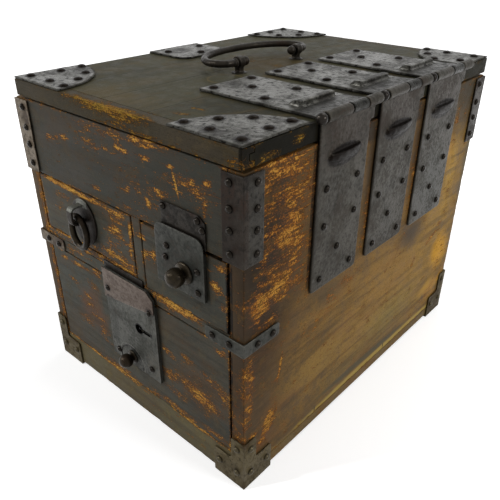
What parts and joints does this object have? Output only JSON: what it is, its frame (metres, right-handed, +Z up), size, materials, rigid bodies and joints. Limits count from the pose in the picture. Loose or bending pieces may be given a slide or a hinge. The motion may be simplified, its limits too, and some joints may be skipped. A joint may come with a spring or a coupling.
{
  "type": "ship chest",
  "caption": "Lacquered wooden chest bound in forged iron, with a strap-hinged lid that carries a bail, a till under it, and drawers below with a ring pull, knobs and a lock.",
  "frame": {"origin": "the middle of the overall box, on the floor", "axes": "+X towards the side with the lid's hinges, -Y towards the drawers' side, +Z up"},
  "size_m": [0.3806, 0.5126, 0.4192],
  "materials": {
    "lacquered_wood": "dark lacquer worn through to golden wood in flecks along the grain",
    "side_wood": "worn lacquer, brown to mustard gold, with dark stains",
    "bare_wood": "unfinished, aged softwood",
    "dark_iron": "forged, brown-black and pitted, with a dull shine",
    "grey_iron": "forged, dark grey, rubbed smooth by hands",
    "pale_iron": "forged, silver-grey and pitted, with dark nail heads"
  },
  "bodies": {
    "case": {"left_side_panel": "side_wood", "right_side_panel": "side_wood", "back_panel": "side_wood", "bottom_board": "bare_wood", "base_rail": "lacquered_wood", "upper_front_board": "lacquered_wood", "till_floor": "bare_wood", "drawer_shelf": "lacquered_wood", "left_drawer_bed": "lacquered_wood", "drawer_divider": "lacquered_wood", "corner_iron_front_right": "dark_iron", "corner_iron_front_left": "dark_iron", "corner_iron_back_right": "dark_iron", "corner_iron_back_left": "dark_iron", "foot_iron_front_right": "dark_iron", "foot_iron_front_left": "dark_iron", "foot_iron_back_right": "dark_iron", "foot_iron_back_left": "dark_iron", "waist_strap_front_right": "grey_iron", "waist_strap_front_left": "grey_iron", "side_hinge_strap_front": "dark_iron", "side_hinge_strap_middle": "dark_iron", "side_hinge_strap_back": "dark_iron", "hinge_pin_front": "grey_iron", "hinge_pin_middle": "grey_iron", "hinge_pin_back": "grey_iron", "upper_strike_plate": "dark_iron", "lower_strike_plate": "grey_iron"},
    "lid": {"lid_panel": "lacquered_wood", "lid_cleat_front": "lacquered_wood", "lid_cleat_back": "lacquered_wood", "lid_corner_plate_front_right": "pale_iron", "lid_corner_plate_front_left": "pale_iron", "lid_corner_plate_back_right": "pale_iron", "lid_corner_plate_back_left": "pale_iron", "lid_hinge_strap_front": "pale_iron", "lid_hinge_strap_middle": "pale_iron", "lid_hinge_strap_back": "pale_iron", "bail_eye_front": "grey_iron", "bail_eye_back": "grey_iron", "hasp_strap": "pale_iron", "hasp_pin": "grey_iron"},
    "bail": {"bail_handle": "grey_iron"},
    "hasp": {"hasp_tongue": "grey_iron"},
    "left_drawer": {"left_drawer_front": "lacquered_wood", "left_drawer_tray": "bare_wood", "ring_seat": "dark_iron"},
    "ring": {"ring_pull": "grey_iron"},
    "right_drawer": {"right_drawer_front": "lacquered_wood", "right_drawer_tray": "bare_wood", "right_drawer_plate": "dark_iron", "right_drawer_knob": "grey_iron"},
    "lower_drawer": {"lower_drawer_front": "lacquered_wood", "lower_drawer_tray": "bare_wood", "lower_lock_plate": "grey_iron", "lower_lock_cover": "dark_iron", "lower_drawer_knob": "grey_iron", "lower_lock_case": "dark_iron"},
    "lock_bolt": {"lower_lock_bolt": "grey_iron"}
  },
  "joints": [
    {"name": "lid_hinge", "type": "hinge", "parent": "case", "child": "lid", "pos_m": [0.1843, 0, 0.4046], "axis": [0, 1, 0], "range_deg": [0, 105]},
    {"name": "bail_swing", "type": "hinge", "parent": "lid", "child": "bail", "pos_m": [-0.0055, 0.0187, 0.412], "axis": [0, 1, 0], "range_deg": [0, 175]},
    {"name": "hasp_swing", "type": "hinge", "parent": "lid", "child": "hasp", "pos_m": [-0.1785, 0.0107, 0.389], "axis": [0, 1, 0], "range_deg": [0, 100]},
    {"name": "left_drawer_slide", "type": "slide", "parent": "case", "child": "left_drawer", "axis": [0, -1, 0], "range_m": [0, 0.3]},
    {"name": "ring_swing", "type": "hinge", "parent": "left_drawer", "child": "ring", "pos_m": [-0.071, -0.2394, 0.262], "axis": [-1, 0, 0], "range_deg": [0, 80]},
    {"name": "right_drawer_slide", "type": "slide", "parent": "case", "child": "right_drawer", "axis": [0, -1, 0], "range_m": [0, 0.3]},
    {"name": "lower_drawer_slide", "type": "slide", "parent": "case", "child": "lower_drawer", "axis": [0, -1, 0], "range_m": [0, 0.3]},
    {"name": "lock_bolt_slide", "type": "slide", "parent": "lower_drawer", "child": "lock_bolt", "axis": [0, 0, 1], "range_m": [0, 0.008]}
  ]
}
